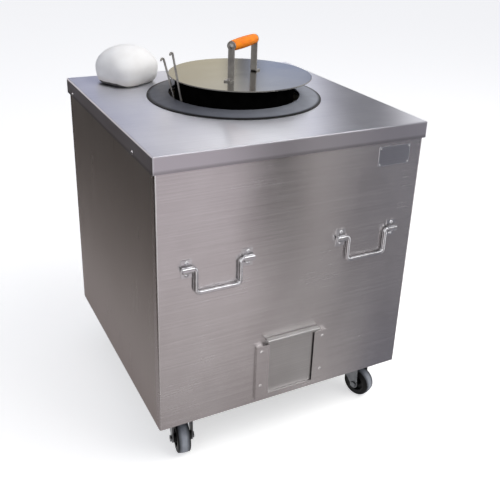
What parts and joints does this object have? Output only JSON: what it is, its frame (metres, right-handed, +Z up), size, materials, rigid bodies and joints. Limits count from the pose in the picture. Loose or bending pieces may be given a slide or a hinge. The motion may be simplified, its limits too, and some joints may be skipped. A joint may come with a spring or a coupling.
{
  "type": "naan tandoor",
  "caption": "Square steel-cased charcoal tandoor on swivel casters, with a clay pot under a round lid, a sliding ash door, folding bail handles, skewers and a cloth pad.",
  "frame": {"origin": "on the floor, under the middle of the square casing", "axes": "+Z up, +X to the right along the front with the ash door, +Y from front to back"},
  "size_m": [0.6648, 0.671, 0.9207],
  "materials": {
    "stainless_sheet": "brushed stainless sheet",
    "frame_steel": "mild steel with dark paint",
    "mineral_wool": "loose insulation fill",
    "clay": "fired clay with soot",
    "cast_iron": "rough cast iron",
    "ring_iron": "dark grey, matte",
    "band_iron": "blackened by heat",
    "zinc_steel": "bright zinc plate",
    "caster_steel": "zinc plate, grey",
    "lid_steel": "plain steel sheet",
    "lid_bar": "plain flat bar",
    "orange_grip": "orange, satin",
    "hub_plastic": "black",
    "tyre": "black rubber",
    "skewer_steel": "plain rod",
    "cotton": "white cloth over a stuffed pad"
  },
  "bodies": {
    "casing": {"top_cap": "stainless_sheet", "front_panel": "stainless_sheet", "back_panel": "stainless_sheet", "left_panel": "stainless_sheet", "right_panel": "stainless_sheet", "base_frame": "frame_steel", "base_plate": "frame_steel", "corner_posts": "frame_steel", "top_frame": "frame_steel", "insulation": "mineral_wool", "clay_pot": "clay", "fire_grate": "cast_iron", "ash_tunnel": "frame_steel", "mouth_ring": "ring_iron", "mouth_band": "band_iron", "door_guides": "stainless_sheet", "door_rivets": "zinc_steel", "handle_rivets": "zinc_steel", "cap_rivets": "zinc_steel", "left_saddle_outer": "zinc_steel", "left_saddle_inner": "zinc_steel", "right_saddle_inner": "zinc_steel", "right_saddle_outer": "zinc_steel", "caster_plate_front_left": "caster_steel", "caster_plate_front_right": "caster_steel", "caster_plate_back_left": "caster_steel", "caster_plate_back_right": "caster_steel", "king_pins": "zinc_steel", "caster_bolts": "zinc_steel"},
    "lid": {"lid_disc": "lid_steel", "lid_leg_near": "lid_bar", "lid_leg_far": "lid_bar", "lid_grip": "orange_grip", "lid_grip_rod": "zinc_steel", "lid_rivets": "zinc_steel"},
    "ash_door": {"ash_door": "stainless_sheet"},
    "left_bail": {"left_bail": "zinc_steel"},
    "right_bail": {"right_bail": "zinc_steel"},
    "skewer_back": {"skewer_back": "skewer_steel"},
    "skewer_front": {"skewer_front": "skewer_steel"},
    "naan_pad": {"naan_pad": "cotton"},
    "caster_front_left": {"caster_fork_front_left": "caster_steel", "caster_axle_front_left": "zinc_steel"},
    "wheel_front_left": {"caster_hub_front_left": "hub_plastic", "caster_tyre_front_left": "tyre"},
    "caster_front_right": {"caster_fork_front_right": "caster_steel", "caster_axle_front_right": "zinc_steel"},
    "wheel_front_right": {"caster_hub_front_right": "hub_plastic", "caster_tyre_front_right": "tyre"},
    "caster_back_left": {"caster_fork_back_left": "caster_steel", "caster_axle_back_left": "zinc_steel"},
    "wheel_back_left": {"caster_hub_back_left": "hub_plastic", "caster_tyre_back_left": "tyre"},
    "caster_back_right": {"caster_fork_back_right": "caster_steel", "caster_axle_back_right": "zinc_steel"},
    "wheel_back_right": {"caster_hub_back_right": "hub_plastic", "caster_tyre_back_right": "tyre"}
  },
  "joints": [
    {"name": "lid_lift", "type": "slide", "parent": "casing", "child": "lid", "axis": [0, 0, 1], "range_m": [0, 0.3]},
    {"name": "ash_door_lift", "type": "slide", "parent": "casing", "child": "ash_door", "axis": [0, 0, 1], "range_m": [0, 0.125]},
    {"name": "naan_pad_lift", "type": "slide", "parent": "casing", "child": "naan_pad", "axis": [0, 0, 1], "range_m": [0, 0.2]},
    {"name": "skewer_back_pull", "type": "slide", "parent": "casing", "child": "skewer_back", "axis": [-0.2566, -0.0009, 0.9665], "range_m": [0, 0.2]},
    {"name": "skewer_front_pull", "type": "slide", "parent": "casing", "child": "skewer_front", "axis": [-0.1975, -0.0471, 0.9792], "range_m": [0, 0.2]},
    {"name": "left_bail_swing", "type": "hinge", "parent": "casing", "child": "left_bail", "pos_m": [-0.1895, -0.3315, 0.518], "axis": [-1, 0, 0], "range_deg": [0, 180]},
    {"name": "right_bail_swing", "type": "hinge", "parent": "casing", "child": "right_bail", "pos_m": [0.1895, -0.3315, 0.518], "axis": [-1, 0, 0], "range_deg": [0, 180]},
    {"name": "caster_swivel_front_left", "type": "hinge", "parent": "casing", "child": "caster_front_left", "pos_m": [-0.249, -0.249, 0.118], "axis": [0, 0, 1], "continuous": true},
    {"name": "wheel_spin_front_left", "type": "hinge", "parent": "caster_front_left", "child": "wheel_front_left", "pos_m": [-0.25386, -0.27657, 0.038], "axis": [0.9848, -0.1736, 0], "continuous": true},
    {"name": "caster_swivel_front_right", "type": "hinge", "parent": "casing", "child": "caster_front_right", "pos_m": [0.249, -0.249, 0.118], "axis": [0, 0, 1], "continuous": true},
    {"name": "wheel_spin_front_right", "type": "hinge", "parent": "caster_front_right", "child": "wheel_front_right", "pos_m": [0.25903, -0.27514, 0.038], "axis": [0.9336, 0.3584, 0], "continuous": true},
    {"name": "caster_swivel_back_left", "type": "hinge", "parent": "casing", "child": "caster_back_left", "pos_m": [-0.249, 0.249, 0.118], "axis": [0, 0, 1], "continuous": true},
    {"name": "wheel_spin_back_left", "type": "hinge", "parent": "caster_back_left", "child": "wheel_back_left", "pos_m": [-0.25338, 0.22134, 0.038], "axis": [0.9877, -0.1564, 0], "continuous": true},
    {"name": "caster_swivel_back_right", "type": "hinge", "parent": "casing", "child": "caster_back_right", "pos_m": [0.249, 0.249, 0.118], "axis": [0, 0, 1], "continuous": true},
    {"name": "wheel_spin_back_right", "type": "hinge", "parent": "caster_back_right", "child": "wheel_back_right", "pos_m": [0.25193, 0.22115, 0.038], "axis": [0.9945, 0.1045, 0], "continuous": true}
  ]
}
